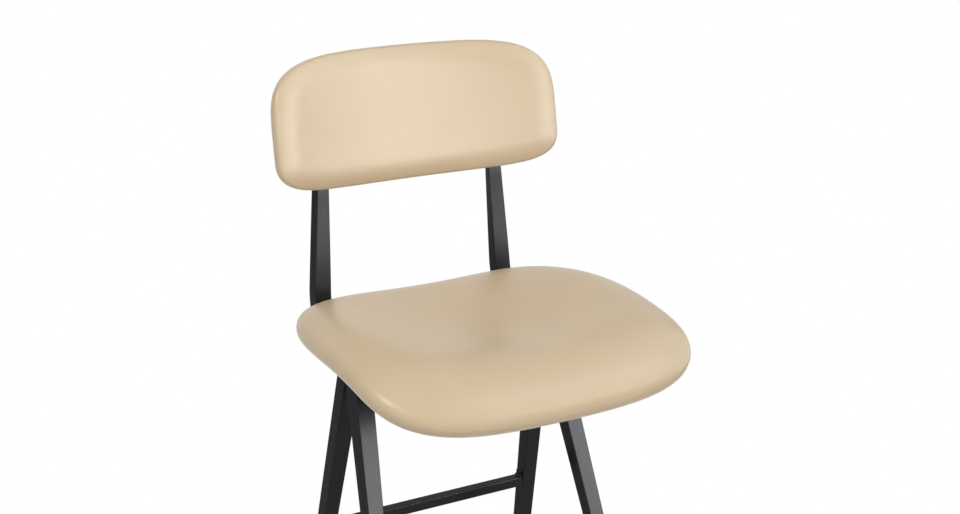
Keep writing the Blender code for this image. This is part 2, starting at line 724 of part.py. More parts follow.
def fix_back(name, side, rise):
    """One back screw from the rear of a post into the back's plywood."""
    share = (rise + BACK_BOTTOM_REACH) / (POST_TIP_RISE + BACK_BOTTOM_REACH)
    reach = (POST_LOW_REACH + (POST_HIGH_REACH - POST_LOW_REACH) * share) * (1 if side == "right" else -1)
    point, normal = back_frame(reach, rise)
    surface = BACK_PLACE + point
    depth = POST_DEPTH * post_scale(surface.z)
    rear = surface + normal * (BACK_COVER_BOTTOM - CLEARANCE - depth)
    turn = normal.to_track_quat("Z", "Y").to_matrix().to_4x4()
    length = (surface - rear).length + BACK_SHELL_TOP - SCREW_TIP_MARGIN
    turned(f"back_screw_{name}", screw_profile(length), Matrix.Translation(rear) @ turn, ZINC)
    margin = SCREW_TIP_MARGIN
    base = surface + normal * (BACK_SHELL_BOTTOM + margin)
    height = BACK_SHELL_THICKNESS - 2 * margin
    turned(f"back_insert_{name}", insert_profile(height), Matrix.Translation(base) @ turn, ZINC)
    behind = rear - normal * depth
    cut_hole(posts[side], f"drill_post_{name}", SCREW_RADIUS + CLEARANCE, behind, surface)
    cut_hole(back_cover, f"drill_panel_{name}", SCREW_RADIUS + 2 * CLEARANCE, behind, surface)
    cut_hole(back_shell, f"drill_back_shell_{name}", INSERT_RADIUS + CLEARANCE, behind, surface)


for place, (x, y) in SEAT_SCREWS.items():
    fix_seat(place, x, y)
for side in ("left", "right"):
    for level, rise in zip(("lower", "upper"), BACK_SCREW_RISES):
        fix_back(f"{level}_{side}", side, rise)

# The middle of the footprint is the origin
front_y = min(vert.co.y for vert in seat_pad.data.vertices)
rear_y = max(vert.co.y for vert in rear_glide.data.vertices)
stand.location.y = -(front_y + rear_y) / 2
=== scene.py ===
import math

import bmesh
import bpy
from mathutils import Matrix, Vector


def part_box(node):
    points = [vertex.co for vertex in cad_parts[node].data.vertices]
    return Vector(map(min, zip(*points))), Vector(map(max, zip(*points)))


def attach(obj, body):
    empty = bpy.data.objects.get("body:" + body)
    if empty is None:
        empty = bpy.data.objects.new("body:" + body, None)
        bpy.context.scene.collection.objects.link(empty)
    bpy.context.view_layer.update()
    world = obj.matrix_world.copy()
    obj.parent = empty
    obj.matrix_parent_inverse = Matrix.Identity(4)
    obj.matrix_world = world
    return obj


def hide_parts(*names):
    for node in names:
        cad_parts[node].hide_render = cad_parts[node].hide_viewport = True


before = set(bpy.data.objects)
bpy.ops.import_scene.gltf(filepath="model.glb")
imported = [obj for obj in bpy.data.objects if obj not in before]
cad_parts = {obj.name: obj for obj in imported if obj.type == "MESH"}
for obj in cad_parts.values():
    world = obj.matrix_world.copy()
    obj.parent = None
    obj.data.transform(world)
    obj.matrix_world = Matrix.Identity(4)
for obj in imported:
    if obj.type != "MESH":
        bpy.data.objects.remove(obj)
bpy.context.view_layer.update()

# Plywood shells. Seat and back are each stiffened by a sheet of birch plywood, pressed hot over a mould and
# routed to shape. Foam and cover wrap round them, so they show only in section.
PLYWOOD_PALE = (0.66, 0.49, 0.30, 1)
PLYWOOD_DARK = (0.48, 0.31, 0.16, 1)
PLYWOOD_GRAIN = (9.0, 140.0, 140.0)
PLYWOOD_ROUGHNESS = (0.5, 0.2)  # least, share of the pattern: the same for all materials
PLYWOOD_BUMP = (0.0002, 0.3)  # depth, strength: the same for all materials


class Socket:
    """A shader socket that takes part in Python sums: arithmetic on it adds Math nodes."""

    def __init__(self, tree, socket):
        self.tree = tree
        self.socket = socket

    def node(self, kind, settings, sockets, output=0):
        """Any other node: its settings are set first, then its sockets are given values or links."""
        added = self.tree.nodes.new(kind)
        for key, value in settings.items():
            if key == "stops":
                for stop, (position, level) in zip(added.color_ramp.elements, value):
                    stop.position = position
                    stop.color = (level, level, level, 1)
            else:
                setattr(added, key, value)
        for key, value in sockets.items():
            if isinstance(value, Socket):
                self.tree.links.new(value.socket, added.inputs[key])
            else:
                added.inputs[key].default_value = value
        return Socket(self.tree, added.outputs[output] if added.outputs else None)

    def maths(self, operation, first, second):
        return self.node("ShaderNodeMath", {"operation": operation}, {0: first, 1: second})

    def tint(self, low, high):
        """A colour between two others, as far as this value goes from 0 to 1."""
        return self.node("ShaderNodeMix", {"data_type": "RGBA"}, {0: self, 6: low, 7: high}, 2)

    def __add__(self, other):
        return self.maths("ADD", self, other)

    def __mul__(self, other):
        return self.maths("MULTIPLY", self, other)

    def __rsub__(self, other):
        return self.maths("SUBTRACT", other, self)

    __radd__ = __add__
    __rmul__ = __mul__


def surface(name):
    """An empty material, and the Object coordinates that its pattern is laid on."""
    material = bpy.data.materials.new(name)
    material.use_nodes = True
    tree = material.node_tree
    tree.nodes.clear()
    return material, Socket(tree, tree.nodes.new("ShaderNodeTexCoord").outputs["Object"])


def coated(place, sockets):
    """Close a material with its shader."""
    shader = place.node("ShaderNodeBsdfPrincipled", {}, sockets)
    place.node("ShaderNodeOutputMaterial", {}, {"Surface": shader})


def noise(place, scale, detail=2.0):
    return place.node("ShaderNodeTexNoise", {}, {"Vector": place, "Scale": scale, "Detail": detail})


def bumped(place, height, distance, strength):
    return place.node("ShaderNodeBump", {}, {"Height": height, "Distance": distance, "Strength": strength})


def dress(nodes, material):
    """Give its material to each solid that is shown as it is."""
    for node in nodes:
        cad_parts[node].data.materials.clear()
        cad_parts[node].data.materials.append(material)


birch_plywood, place = surface("birch_plywood")
along_grain = place.node("ShaderNodeMapping", {}, {"Vector": place, "Scale": PLYWOOD_GRAIN})
streaks = noise(along_grain, 1.0, 5.0)
coated(place, {
    "Base Color": streaks.tint(PLYWOOD_DARK, PLYWOOD_PALE),
    "Roughness": PLYWOOD_ROUGHNESS[0] + PLYWOOD_ROUGHNESS[1] * streaks,
    "Normal": bumped(place, streaks, *PLYWOOD_BUMP),
})
dress(["seat_shell", "back_shell"], birch_plywood)

# Seat cushion. Moulded foam on the plywood under smooth vinyl with a fine leather grain, drawn tight over
# the half-round edge and stapled underneath. It is dished for the sitter and rolls down at the front.
FRONT_RAIL_AHEAD = 0.030
SEAT_HALF_WIDTH = 0.2233
SEAT_REAR = (0.230, 4.9, 3.8)  # reach from the widest line, powers across and along
SEAT_FRONT = (0.1222, 4.4, 3.7)
SEAT_EDGE = 0.0177
SEAT_EDGE_HEIGHT = 0.6665
SEAT_ROLL_START = 0.150
SEAT_FRONT_DROP = 0.0457
SEAT_ROLL_POWER = 2.5
SEAT_REAR_LIFT = 0.003
SEAT_SIDE_LIFT = 0.012
SEAT_DISH = 0.012
SEAT_DISH_MIDDLE = 0.085
SEAT_DISH_HALF_SIZE = (0.125, 0.085)
SEAT_FACE = 0.0287
SEAT_HOLLOW = 0.0105
SEAT_SHOULDER = (0.052, math.radians(34), 0.016)  # width, turn, radius of the nose
SEAT_SWELL = 0.008
SEAT_CELLS = (68, 18, 36)  # columns, front rows, rear rows
SEAT_KNEE = (0.009, -0.040, 0.040)  # height, place, width
KNEE_FADE = 6
SLOPE_STEP = 0.001
RIM_HALVINGS = 40
MERGE_REACH = 0.00001
SMOOTH_BELOW = math.radians(40)
EDGE_STEPS = 14
SHOULDER_EASE = 1.2
NOSE_STEPS = 8
COVER_QUALITY = 6
COVER_PRESSURE = 0.3
COVER_FRAMES = 20
COVER_EASING = 150
SEAT_LIP = (0.014, 0.002)  # width, thickness
SEAT_POCKET = (0.0037, 0.0116)  # way out from the rim's middle line, height
VINYL_PALE = (0.700, 0.552, 0.368, 1)
VINYL_DEEP = (0.630, 0.490, 0.318, 1)
# painted shade: the darker colour laid into the grain's creases, with how much of it is used
VINYL_CREASE_SHADE = (0.560, 0.420, 0.258, 1)
CREASE_SHADE_SHARE = 0.16
CLOUD_SCALE = 14.0
PEBBLE_SCALE = 820.0
PORE_SCALE = 2600.0
VINYL_ROUGHNESS = (0.31, 0.05)
VINYL_GLOSS = 0.25
VINYL_BUMP = (0.00005, 0.35)

rail_low, rail_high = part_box("front_seat_rail")
seat_line = (rail_low.y + rail_high.y) / 2 - FRONT_RAIL_AHEAD


def seat_level(x, y):
    """Height of the seat's middle surface, y being measured from the seat's widest line."""
    front = SEAT_FRONT[0] - SEAT_EDGE
    rear = SEAT_REAR[0] - SEAT_EDGE
    ahead = max(0, SEAT_ROLL_START - y) / (SEAT_ROLL_START + front)
    behind = max(0, y - SEAT_ROLL_START) / (rear - SEAT_ROLL_START)
    wide, deep = SEAT_DISH_HALF_SIZE
    dish = math.exp(-(x / wide) ** 2 - ((y - SEAT_DISH_MIDDLE) / deep) ** 2)
    lift = SEAT_REAR_LIFT * behind**2 + SEAT_SIDE_LIFT * (x / SEAT_HALF_WIDTH) ** 2
    return SEAT_EDGE_HEIGHT + lift - SEAT_FRONT_DROP * ahead**SEAT_ROLL_POWER - SEAT_DISH * dish


def on_seat(plan, height):
    """A point at a height above the seat's middle surface, and the upward normal there."""
    x, y, step = plan.x, plan.y, SLOPE_STEP
    slope_x = (seat_level(x + step, y) - seat_level(x - step, y)) / (2 * step)
    slope_y = (seat_level(x, y + step) - seat_level(x, y - step)) / (2 * step)
    normal = Vector((-slope_x, -slope_y, 1)).normalized()
    return Vector((x, y + seat_line, seat_level(x, y))) + normal * height, normal


class Panel:
    """The outline of an upholstered panel: its rim's middle line, and how it lies in the stool."""

    def __init__(self, half_width, far, near, edge, cells, lay):
        self.half_width = half_width - edge
        self.far = (far[0] - edge, far[1], far[2])
        self.near = (near[0] - edge, near[1], near[2])
        self.edge = edge
        self.cells = cells
        self.lay = lay

    def rim(self, across, along):
        """The outline's point on the ray to a point of a square's border, and the outward normal there."""
        reach, power_x, power_y = self.far if along > 0 else self.near
        low, high = 0.0, 1.0
        for _ in range(RIM_HALVINGS):
            middle = (low + high) / 2
            inside = (middle * abs(across)) ** power_x + (middle * abs(along)) ** power_y < 1
            low, high = (middle, high) if inside else (low, middle)
        lean_x = power_x / self.half_width * (low * abs(across)) ** (power_x - 1)
        lean_y = power_y / reach * (low * abs(along)) ** (power_y - 1)
        normal = Vector((math.copysign(lean_x, across), math.copysign(lean_y, along))).normalized()
        return Vector((self.half_width * low * across, reach * low * along)), normal

    def share(self, plan):
        """How far out a point lies, from 0 in the middle to 1 at the rim's middle line."""
        reach, power_x, power_y = self.far if plan.y > 0 else self.near
        level = abs(plan.x / self.half_width) ** power_x + abs(plan.y / reach) ** power_y
        return level ** (2 / (power_x + power_y))

    def border_walk(self, steps):
        """Points round the border of the square that the outline is drawn from."""
        side = steps // 4
        ways = [2 * step / side - 1 for step in range(side)]
        return (
            [(way, -1) for way in ways] + [(1, way) for way in ways]
            + [(-way, 1) for way in ways] + [(-1, -way) for way in ways]
        )

    def shrunk(self, point, inset):
        """The same point on a smaller outline of the same form."""
        reach = (self.far if point.y > 0 else self.near)[0]
        return Vector((point.x * (1 - inset / self.half_width), point.y * (1 - inset / reach)))

    def grid(self, bm, height, out=0.0, shrink=0.0):
        """A square grid drawn out to the outline and laid at a height given for each point."""
        columns, front_rows, rear_rows = self.cells
        rows = front_rows + rear_rows
        for layer in ("rim_point", "rim_normal"):
            if layer not in bm.verts.layers.float_vector:
                bm.verts.layers.float_vector.new(layer)
        rim_point = bm.verts.layers.float_vector["rim_point"]
        rim_normal = bm.verts.layers.float_vector["rim_normal"]
        made = bmesh.ops.create_grid(bm, x_segments=columns, y_segments=rows, size=1)["verts"]
        for vert in made:
            row = (vert.co.y + 1) / 2 * rows - front_rows
            along = row / (rear_rows if row > 0 else front_rows)
            way = max(abs(vert.co.x), abs(along), 1e-6)
            point, normal = self.rim(vert.co.x / way, along / way)
            vert[rim_point] = (*point, 0)
            vert[rim_normal] = (*normal, 0)
            plan = (self.shrunk(point, shrink) + normal * out) * way
            vert.co = self.lay(plan, height(plan))[0]
        return made

    def draw_round(self, bm, edges, profile, lift=lambda plan: 0, shrink=0.0):
        """Draw a ring of edges out along a profile of (way out from the rim's middle line, height).

        With a shrink, the rings run straight from the smaller outline to the panel's edge."""
        rim_point = bm.verts.layers.float_vector["rim_point"]
        rim_normal = bm.verts.layers.float_vector["rim_normal"]
        for out, height in profile:
            grown = bmesh.ops.extrude_edge_only(bm, edges=edges)["geom"]
            verts = [item for item in grown if isinstance(item, bmesh.types.BMVert)]
            edges = [
                item for item in grown
                if isinstance(item, bmesh.types.BMEdge) and all(vert in verts for vert in item.verts)
            ]
            for vert in verts:
                point, normal = vert[rim_point].xy, vert[rim_normal].xy
                plan = point + normal * out
                if shrink:
                    share = (out + shrink) / (self.edge + shrink)
                    plan = self.shrunk(point, shrink).lerp(point + normal * self.edge, share)
                vert.co = self.lay(plan, height + lift(plan))[0]
        return edges


def border(bm):
    return [edge for edge in bm.edges if edge.is_boundary]


def piece(name, bm, material, nodes=()):
    """Close a bmesh as a shaded piece that rides on the stool."""
    bmesh.ops.remove_doubles(bm, verts=bm.verts, dist=MERGE_REACH)
    bmesh.ops.recalc_face_normals(bm, faces=bm.faces)
    mesh = bpy.data.meshes.new(name)
    bm.to_mesh(mesh)
    bm.free()
    for spare in ("rim_point", "rim_normal"):
        if spare in mesh.attributes:
            mesh.attributes.remove(mesh.attributes[spare])
    mesh.materials.append(material)
    mesh.shade_smooth()
    mesh.set_sharp_from_angle(angle=SMOOTH_BELOW)
    made = bpy.data.objects.new(name, mesh)
    bpy.context.scene.collection.objects.link(made)
    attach(made, "root")
    if nodes:
        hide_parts(*nodes)
    return made


def cushion(panel, face, crown, shoulder, lip, pocket):
    """A pad's skin: face, soft shoulder, rounded edge, lip under the plywood and a pocket for it.

    All from the rim down is marked as held for the run that presses the cover out."""
    lip_width, lip_thickness = lip
    pocket_out, pocket_height = pocket
    floor = lip_thickness - panel.edge
    ceiling = floor + pocket_height
    width, turn, nose = shoulder
    angles = [turn * ((step - 0.5) / EDGE_STEPS) ** SHOULDER_EASE for step in range(1, EDGE_STEPS + 1)]
    stride = width / sum(math.cos(angle) for angle in angles)
    nose_start = face - stride * sum(math.sin(angle) for angle in angles)
    widest = nose_start - nose * math.cos(turn)
    drawn_in = width + nose * (1 - math.sin(turn)) - panel.edge
    bm = bmesh.new()
    held = bm.verts.layers.deform.verify()
    panel.grid(bm, lambda plan: face + crown(plan), shrink=drawn_in)
    profile = []
    out, height = -drawn_in, face
    for angle in angles:
        out, height = out + stride * math.cos(angle), height - stride * math.sin(angle)
        profile.append((out, height))
    for step in range(1, NOSE_STEPS + 1):
        angle = turn + (math.pi / 2 - turn) * step / NOSE_STEPS
        out = width + nose * (math.sin(angle) - math.sin(turn)) - drawn_in
        profile.append((out, nose_start - nose * (math.cos(turn) - math.cos(angle))))
    free = panel.draw_round(bm, border(bm), profile, crown, drawn_in)
    for vert in {vert for edge in free for vert in edge.verts}:
        vert[held][0] = 1.0
    profile = []
    tuck = widest + panel.edge
    for step in range(1, NOSE_STEPS + 1):
        angle = math.pi / 2 * step / NOSE_STEPS
        profile.append((panel.edge - tuck * (1 - math.cos(angle)), widest - tuck * math.sin(angle)))
    profile += [(-lip_width / 2, -panel.edge), (-lip_width, -panel.edge), (-lip_width, floor)]
    profile += [(pocket_out, floor), (pocket_out, ceiling)]
    panel.draw_round(bm, free, profile)
    for vert in panel.grid(bm, lambda plan: ceiling, pocket_out):
        vert[held][0] = 1.0
    bmesh.ops.remove_doubles(bm, verts=bm.verts, dist=MERGE_REACH)
    bmesh.ops.recalc_face_normals(bm, faces=bm.faces)
    bm.normal_update()
    bm.verts.index_update()
    bm.verts.ensure_lookup_table()
    return bm


def pressed_out(bm, travel):
    """Let the foam press the cover out: a short cloth run under pressure, its travel eased to a limit."""
    mesh = bpy.data.meshes.new("cover_trial")
    bm.to_mesh(mesh)
    trial = bpy.data.objects.new("cover_trial", mesh)
    trial.vertex_groups.new(name="held")
    scene = bpy.context.scene
    scene.collection.objects.link(trial)
    cover = trial.modifiers.new("cover", "CLOTH")
    cover.settings.quality = COVER_QUALITY
    cover.settings.vertex_group_mass = "held"
    cover.settings.use_pressure = True
    cover.settings.uniform_pressure_force = COVER_PRESSURE
    cover.settings.effector_weights.gravity = 0
    cover.point_cache.frame_start = 1
    cover.point_cache.frame_end = COVER_FRAMES
    for step in range(1, COVER_FRAMES + 1):
        scene.frame_set(step)
    swollen = trial.evaluated_get(bpy.context.evaluated_depsgraph_get()).data.vertices
    lifts = [(moved.co - vert.co).dot(vert.normal) for vert, moved in zip(bm.verts, swollen)]
    lifts = [travel * math.tanh(lift / travel) for lift in lifts]
    held = bm.verts.layers.deform.verify()
    beside = [[edge.other_vert(vert).index for edge in vert.link_edges] for vert in bm.verts]
    loose = [vert.index for vert in bm.verts if not vert[held]]
    for _ in range(COVER_EASING):
        eased = lifts[:]
        for index in loose:
            eased[index] = sum(lifts[other] for other in beside[index]) / len(beside[index])
        lifts = eased
    for index in loose:
        bm.verts[index].co += bm.verts[index].normal * lifts[index]
    bpy.data.objects.remove(trial)
    bpy.data.meshes.remove(mesh)
    scene.frame_set(1)
    return bm


def rounded_off(made):
    """One subdivision, so that a cover's curves stay smooth close up."""
    finer = made.modifiers.new("finer", "SUBSURF")
    finer.levels = finer.render_levels = 1


beige_vinyl, place = surface("beige_vinyl")
clouds = noise(place, CLOUD_SCALE, 3.0)
pebbles = place.node(
    "ShaderNodeTexVoronoi",
    {"feature": "SMOOTH_F1"},
    {"Vector": place, "Scale": PEBBLE_SCALE, "Smoothness": 0.6},
    "Distance",
)
pores = noise(place, PORE_SCALE, 1.0)
skin = (1 - pebbles) * 0.75 + pores * 0.25
colour = (clouds * 0.8 + pores * 0.2).tint(VINYL_DEEP, VINYL_PALE)
# Painted shade: the base colour darkens in the grain's creases, the recesses between the pebbles where shade
# would fall.
crease_shade = place.node("ShaderNodeValToRGB", {"stops": [(0.55, 0.0), (0.95, 1.0)]}, {"Fac": pebbles})
coated(place, {
    "Base Color": (CREASE_SHADE_SHARE * crease_shade).tint(colour, VINYL_CREASE_SHADE),
    "Roughness": VINYL_ROUGHNESS[0] + VINYL_ROUGHNESS[1] * clouds,
    "Specular IOR Level": VINYL_GLOSS,
    "Normal": bumped(place, skin, *VINYL_BUMP),
})

seat = Panel(SEAT_HALF_WIDTH, SEAT_REAR, SEAT_FRONT, SEAT_EDGE, SEAT_CELLS, on_seat)


def seat_crown(plan):
    """The face is hollowed a little towards its middle, and raised to a soft knee towards its front."""
    share = min(seat.share(plan), 1)
    knee_height, knee_place, knee_width = SEAT_KNEE
    knee = knee_height * math.exp(-((plan.y - knee_place) / knee_width) ** 2)
    knee *= (1 - share**KNEE_FADE) ** 2
    return knee - SEAT_HOLLOW * math.cos(math.pi / 2 * share) ** 2


seat_skin = cushion(seat, SEAT_FACE, seat_crown, SEAT_SHOULDER, SEAT_LIP, SEAT_POCKET)
seat_cushion = piece(
    "seat_cushion",
    pressed_out(seat_skin, SEAT_SWELL),
    beige_vinyl,
    ["seat_pad"],
)
rounded_off(seat_cushion)

# Dust cover. A sheet of black non-woven polypropylene closes the underside of the seat. Its fibres are fused
# at small dots, its edge is folded in, and a row of wire staples holds it to the plywood.
SHEET_DRAWN_IN = 0.0083
SHEET_LEVELS = (-0.0180, -0.0200)  # inner side, outer side
SHEET_FOLD = 0.0006
STAPLE_DRAWN_IN = 0.0145
STAPLE_PITCH = 0.031
STAPLE_SIZE = (0.0102, 0.0013, 0.0006)  # length, width, thickness
STAPLE_ROUND = (0.00025, 2)  # radius, steps: the same for all rounded edges
RIM_STEPS = 400
SHEET_BLACK = (0.014, 0.014, 0.015, 1)
SHEET_GREY = (0.034, 0.034, 0.036, 1)
FIBRE_STRETCH = (1.0, 0.25, 1.0)
FIBRE_SCALE = 900.0
DOT_SCALE = 520.0
SHEET_ROUGHNESS = (0.95, 0.25)
SHEET_BUMP = (0.00025, 0.6)
STAPLE_GREY = (0.42, 0.43, 0.44, 1)
STAPLE_BRIGHT = (0.62, 0.62, 0.63, 1)
WIRE_STRETCH = (1.0, 1.0, 0.2)
WIRE_SCALE = 1800.0
WIRE_ROUGHNESS = (0.28, 0.2)
WIRE_BUMP = (0.00003, 0.4)

fused_sheet, place = surface("fused_sheet")
along_fibres = place.node("ShaderNodeMapping", {}, {"Vector": place, "Scale": FIBRE_STRETCH})
fibres = noise(along_fibres, FIBRE_SCALE, 4.0)
dots = place.node(
    "ShaderNodeTexVoronoi",
    {"distance": "CHEBYCHEV"},
    {"Vector": place, "Scale": DOT_SCALE, "Randomness": 0.0},
    "Distance",
)
coated(place, {
    "Base Color": (fibres * 0.7 + dots * 0.3).tint(SHEET_BLACK, SHEET_GREY),
    "Roughness": SHEET_ROUGHNESS[0] - SHEET_ROUGHNESS[1] * dots,
    "Normal": bumped(place, fibres * 0.5 + dots, *SHEET_BUMP),
})


def sheet_cover(panel, drawn_in, front, rear, fold):
    """A thin cover between two levels, with a rounded edge on the side that shows."""
    bm = bmesh.new()
    panel.grid(bm, lambda plan: rear, -drawn_in - fold)
    bend = math.sqrt(0.5) * fold
    profile = [(bend - fold - drawn_in, rear + fold - bend), (-drawn_in, rear + fold), (-drawn_in, front)]
    panel.draw_round(bm, border(bm), profile)
    panel.grid(bm, lambda plan: front, -drawn_in)
    return bm


def softened(bm, sharp, radius, steps, affect="EDGES"):
    """Round edges off, or the corners of a flat face."""
    bmesh.ops.bevel(bm, geom=sharp, offset=radius, affect=affect, segments=steps, profile=0.5, material=-1)


piece(
    "seat_dust_cover",
    sheet_cover(seat, SHEET_DRAWN_IN, *SHEET_LEVELS, SHEET_FOLD),
    fused_sheet,
    ["seat_bottom_cover"],
)

staple_wire, place = surface("staple_wire")
along_wire = place.node("ShaderNodeMapping", {}, {"Vector": place, "Scale": WIRE_STRETCH})
drawn = noise(along_wire, WIRE_SCALE, 2.0)
coated(place, {
    "Base Color": drawn.tint(STAPLE_GREY, STAPLE_BRIGHT),
    "Metallic": 1.0,
    "Roughness": WIRE_ROUGHNESS[0] + WIRE_ROUGHNESS[1] * drawn,
    "Normal": bumped(place, drawn, *WIRE_BUMP),
})

bm = bmesh.new()
rim_steps = [seat.rim(*corner) for corner in seat.border_walk(RIM_STEPS)]
run = 0.0
for (point, normal), (ahead, _) in zip(rim_steps, rim_steps[1:] + rim_steps[:1]):
    run += (ahead - point).length
    if run < STAPLE_PITCH:
        continue
    run = 0.0
    spot, up = on_seat(point - normal * STAPLE_DRAWN_IN, SHEET_LEVELS[1] - STAPLE_SIZE[2] / 2)
    across = Vector((-normal.y, normal.x, 0))
    across = (across - up * across.dot(up)).normalized()
    turn = Matrix((across, up.cross(across), up)).transposed().to_4x4()
    stand = Matrix.Translation(spot) @ turn @ Matrix.Diagonal((*STAPLE_SIZE, 1))
    verts = bmesh.ops.create_cube(bm, size=1, matrix=stand)["verts"]
    crown = [edge for edge in bm.edges if all(vert in verts for vert in edge.verts)]
    softened(bm, crown, *STAPLE_ROUND)
piece("cover_staples", bm, staple_wire)

# Back cushion. The same build as the seat: foam and vinyl over a plywood shell, bent to a sitter's back and
# leaning away. Its edge is slimmer, and its cover is closed at the rear by a panel.
BACK_HALF_WIDTH = 0.2075
BACK_TOP = (0.1222, 4.8, 5.4)  # these are laid out like the seat's
BACK_BOTTOM = (0.0484, 5.6, 4.2)
BACK_ARCH = 0.007
BACK_EDGE = 0.0129
BACK_CURVE = 0.618
BACK_TILT = math.radians(9)
BACK_BEHIND = 0.2462
BACK_HEIGHT = 0.8725
BACK_FACE = 0.0142
BACK_SHOULDER = (0.028, math.radians(27), 0.006)
BACK_SWELL = 0.006
BACK_CELLS = (68, 10, 26)
BACK_LIP = (0.012, 0.0015)
BACK_POCKET = (0.0029, 0.0086)


def on_back(plan, height):
    """A point in front of the back's middle surface, and the forward normal there."""
    turn = plan.x / BACK_CURVE
    lean = Matrix.Rotation(-BACK_TILT, 3, "X")
    forward = BACK_CURVE * (1 - math.cos(turn))
    point = lean @ Vector((BACK_CURVE * math.sin(turn), -forward, plan.y))
    normal = lean @ Vector((-math.sin(turn), -math.cos(turn), 0))
    return Vector((0, seat_line + BACK_BEHIND, BACK_HEIGHT)) + point + normal * height, normal


def arched(plan, height):
    """The same, with the back's upper part bowed down towards both ends."""
    bow = BACK_ARCH * (plan.x / BACK_HALF_WIDTH) ** 2 * max(plan.y, 0) / BACK_TOP[0]
    return on_back(Vector((plan.x, plan.y - bow)), height)


back_panel = Panel(BACK_HALF_WIDTH, BACK_TOP, BACK_BOTTOM, BACK_EDGE, BACK_CELLS, arched)
back_skin = cushion(back_panel, BACK_FACE, lambda plan: 0, BACK_SHOULDER, BACK_LIP, BACK_POCKET)
back_cushion = piece(
    "back_cushion",
    pressed_out(back_skin, BACK_SWELL),
    beige_vinyl,
    ["back_pad"],
)
rounded_off(back_cushion)

# Rear panel of the back. A thin board wrapped in the same vinyl hides the shell and the staples, and a welt,
# a cord sewn into a strip of vinyl, fills the joint round it.
PANEL_DRAWN_IN = 0.0041
PANEL_LEVELS = (-0.0132, -0.0157)  # inner side, outer side
PANEL_FOLD = 0.0011
WELT_RADIUS = 0.0016
WELT_OUT = -0.0022
WELT_LEVEL = -0.0141
WELT_STEPS = 10

piece(
    "back_rear_cover",
    sheet_cover(back_panel, PANEL_DRAWN_IN, *PANEL_LEVELS, PANEL_FOLD),
    beige_vinyl,
    ["back_rear_panel"],
)
bm = bmesh.new()
inner = back_panel.grid(bm, lambda plan: WELT_LEVEL, WELT_OUT + WELT_RADIUS)
bmesh.ops.delete(bm, geom=[vert for vert in inner if not vert.is_boundary], context="VERTS")
profile = []
for step in range(1, WELT_STEPS + 1):
    turn = 2 * math.pi * step / WELT_STEPS
    profile.append((WELT_OUT + WELT_RADIUS * math.cos(turn), WELT_LEVEL + WELT_RADIUS * math.sin(turn)))
back_panel.draw_round(bm, list(bm.edges), profile)
piece("back_welt", bm, beige_vinyl)

# Back posts. One tube of folded steel each, black powder coat: an arm under the seat, a bend behind it and an
# upright that narrows and turns to lie flat on the rear of the back, where two screws hold it.
POST_SECTION = (0.0234, 0.0172)  # width, depth
POST_TIP_SHARE = 0.0131 / 0.0234
POST_FOLD = (0.0017, 6)
POST_WALL = 0.0018
POST_BEND_RADIUS = 0.078
POST_BEND_BEHIND = 0.16424
POST_RECLINE = math.radians(2.7)
POST_BASE_X = 0.1345
POST_REACHES = ((0.124, -0.0476), (0.1185, 0.072))  # out from the middle, up from the back's origin
POST_GAP = 0.0003
ARM_FRONT = 0.002
ARM_TOE = math.radians(3.5)
ARM_APEX = (0.141, 0.1412)  # out from the middle, behind the seat's widest line
BEND_STEPS = 24
UPRIGHT_STEPS = 8
TUBE_END_DEPTH = 0.016
COAT_BLACK = (0.026, 0.026, 0.027, 1)
COAT_GREY = (0.031, 0.031, 0.033, 1)
COAT_EDGE = (0.02, 0.02, 0.02, 1)
COAT_METAL = 0.5
COAT_ROUGHNESS = (0.21, 0.06, 0.05)  # least, shares of the drift and the grit
COAT_GLOSS = 0.1
COAT_BUMP = (0.00006, 0.35)
PEEL_SCALE = 420.0
GRIT_SCALE = 3200.0
DRIFT_SCALE = 22.0

black_powder_coat, place = surface("black_powder_coat")
peel = noise(place, PEEL_SCALE, 2.0)
grit = noise(place, GRIT_SCALE, 1.0)
drift = noise(place, DRIFT_SCALE, 3.0)
coated(place, {
    "Base Color": (0.6 * drift + 0.4 * grit).tint(COAT_BLACK, COAT_GREY),
    "Metallic": COAT_METAL,
    "Roughness": COAT_ROUGHNESS[0] + COAT_ROUGHNESS[1] * drift + COAT_ROUGHNESS[2] * grit,
    "Specular IOR Level": COAT_GLOSS,
    "Specular Tint": COAT_EDGE,
    "Normal": bumped(place, peel * 0.7 + grit * 0.3, *COAT_BUMP),
})

arm_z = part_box("back_post_right")[0].z + POST_SECTION[1] / 2
bend_y = seat_line + POST_BEND_BEHIND
bend_z = arm_z + POST_BEND_RADIUS


def post_scale(z):
    """Size of a post's section at a height, as a share of its size at the bend."""
    tip = BACK_HEIGHT + POST_REACHES[1][1]
    return 1 + (POST_TIP_SHARE - 1) * min(max((z - bend_z) / (tip - bend_z), 0), 1)


def behind_back(reach, rise):
    """The middle of a post where it lies on the rear panel."""
    plan = Vector((reach, rise))
    half_depth = POST_SECTION[1] / 2 * post_scale(on_back(plan, 0)[0].z)
    return on_back(plan, PANEL_LEVELS[1] - POST_GAP - half_depth)[0]


def arm_x(y):
    return ARM_APEX[0] - (y - seat_line - ARM_APEX[1]) * math.tan(ARM_TOE)


def post_path():
    """The right post's middle line from the arm's front end to the tip, with the turn of its section."""
    path = [(Vector((arm_x(seat_line + ARM_FRONT), seat_line + ARM_FRONT, arm_z)), ARM_TOE)]
    start_x = arm_x(bend_y)
    for step in range(BEND_STEPS + 1):
        share = step / BEND_STEPS
        angle = share * (math.pi / 2 - POST_RECLINE)
        x = start_x + (POST_BASE_X - start_x) * share
        y = bend_y + POST_BEND_RADIUS * math.sin(angle)
        z = bend_z - POST_BEND_RADIUS * math.cos(angle)
        path.append((Vector((x, y, z)), ARM_TOE * (1 - share)))
    for reach, rise in POST_REACHES:
        last, last_turn = path[-1]
        here, here_turn = behind_back(reach, rise), -reach / BACK_CURVE
        for step in range(1, UPRIGHT_STEPS + 1):
            share = step / UPRIGHT_STEPS
            path.append((last.lerp(here, share), last_turn + (here_turn - last_turn) * share))
    return path


